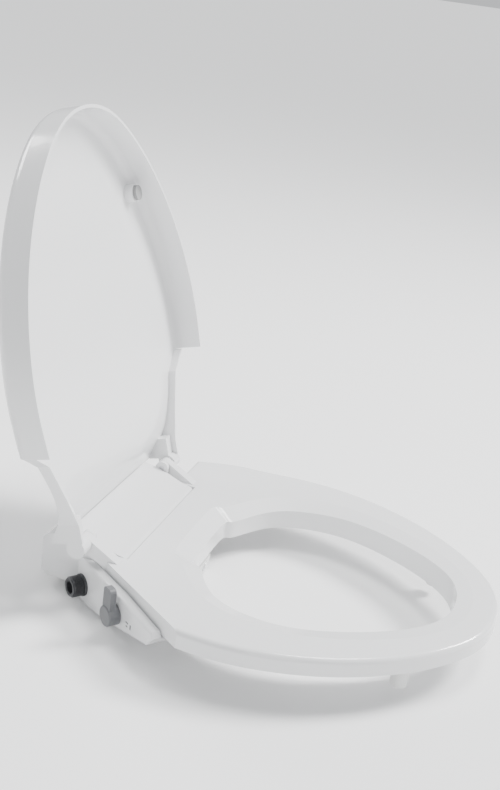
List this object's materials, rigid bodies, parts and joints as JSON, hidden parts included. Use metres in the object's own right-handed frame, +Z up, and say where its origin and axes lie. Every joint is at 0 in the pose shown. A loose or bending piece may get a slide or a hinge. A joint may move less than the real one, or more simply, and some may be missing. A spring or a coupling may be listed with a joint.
{
  "type": "bidet_seat",
  "caption": "Non-electric bidet toilet seat with lifting lid and ring, hinge bridge, side control pod with a lever knob and water inlet, and two sliding wash nozzles.",
  "frame": {"origin": "on the top of the bowl deck, midway between the two mounting bolts", "axes": "+Z up, -Y to the front of the bowl, +X to the left of a seated user"},
  "size_m": [0.3728, 0.4826, 0.4377],
  "materials": {
    "white_gloss": "smooth gloss",
    "white_satin": "satin",
    "knob_grey": "satin",
    "inlet_grey": "satin",
    "rubber_grey": "matt",
    "rubber_white": "matt",
    "mark_grey": "satin",
    "rubber_black": "matt",
    "steel": "brushed",
    "brass": "satin",
    "hose_blue": "satin"
  },
  "bodies": {
    "base": {"base_plate": "white_satin", "bridge_cover": "white_gloss", "hinge_post_left": "white_gloss", "hinge_post_right": "white_gloss", "hinge_pin_left": "steel", "hinge_pin_right": "steel", "pod_shell": "white_gloss", "pod_back_cover": "white_satin", "water_inlet": "inlet_grey", "inlet_filter": "steel", "valve_body": "brass", "spindle_seal": "rubber_black", "nozzle_housing": "white_satin", "feed_hose_rear": "hose_blue", "feed_hose_front": "hose_blue"},
    "seat": {"seat_ring": "white_gloss", "seat_hinge_lug_left": "white_gloss", "seat_hinge_lug_right": "white_gloss", "seat_damper_bush_left": "white_satin", "seat_damper_bush_right": "white_satin", "seat_buffer_front_left": "rubber_white", "seat_buffer_front_right": "rubber_white", "seat_buffer_rear_left": "rubber_white", "seat_buffer_rear_right": "rubber_white"},
    "lid": {"lid_shell": "white_gloss", "lid_hinge_foot_left": "white_gloss", "lid_hinge_foot_right": "white_gloss", "lid_damper_bush_left": "white_satin", "lid_damper_bush_right": "white_satin", "lid_bumper_base_left": "white_gloss", "lid_bumper_base_right": "white_gloss", "lid_bumper_pad_left": "rubber_grey", "lid_bumper_pad_right": "rubber_grey"},
    "knob": {"control_knob": "knob_grey", "valve_spindle": "brass"},
    "rear_nozzle": {"rear_nozzle_tube": "white_satin", "rear_nozzle_tip": "white_gloss"},
    "front_nozzle": {"front_nozzle_tube": "white_satin", "front_nozzle_tip": "white_gloss"}
  },
  "joints": [
    {"name": "lid_hinge", "type": "hinge", "parent": "base", "child": "lid", "pos_m": [0, -0.026, 0.0545], "axis": [-1, 0, 0], "range_deg": [-106, 0]},
    {"name": "seat_hinge", "type": "hinge", "parent": "base", "child": "seat", "pos_m": [0, -0.026, 0.0545], "axis": [-1, 0, 0], "range_deg": [0, 95]},
    {"name": "knob_turn", "type": "hinge", "parent": "base", "child": "knob", "pos_m": [-0.14104, -0.07882, 0.014], "axis": [-0.797, 0.604, 0], "range_deg": [-90, 90]},
    {"name": "rear_nozzle_slide", "type": "slide", "parent": "base", "child": "rear_nozzle", "axis": [0, -0.9903, -0.1392], "range_m": [0, 0.06], "stiffness_N_per_m": 20, "springref_m": -0.02},
    {"name": "front_nozzle_slide", "type": "slide", "parent": "base", "child": "front_nozzle", "axis": [0, -0.9903, -0.1392], "range_m": [0, 0.06], "stiffness_N_per_m": 20, "springref_m": -0.02}
  ]
}
